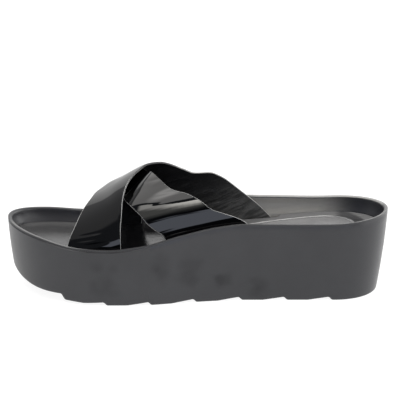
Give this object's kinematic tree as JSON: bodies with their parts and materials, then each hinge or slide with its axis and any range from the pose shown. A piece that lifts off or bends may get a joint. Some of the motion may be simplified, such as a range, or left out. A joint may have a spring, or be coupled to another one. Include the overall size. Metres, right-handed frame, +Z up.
{
  "type": "platform slide sandal",
  "caption": "Backless platform slide with crossed glossy straps over the forefoot, a cupped wedge sole with toe spring and saw-tooth tread, and a heel sock patch on the footbed.",
  "frame": {"origin": "on the floor, under the middle of the bounding box", "axes": "+X from the toe to the heel, +Y from the outer side of the foot to the inner side, +Z up"},
  "size_m": [0.262, 0.0958, 0.085],
  "materials": {
    "moulded_sole": "satin moulded foam",
    "footbed": "matt synthetic leather over foam",
    "sock_patch": "smooth satin",
    "patent": "mirror-gloss patent coating"
  },
  "bodies": {
    "root": {"sole": "moulded_sole", "insole": "footbed", "heel_sock": "sock_patch", "upper": "patent"}
  },
  "joints": []
}
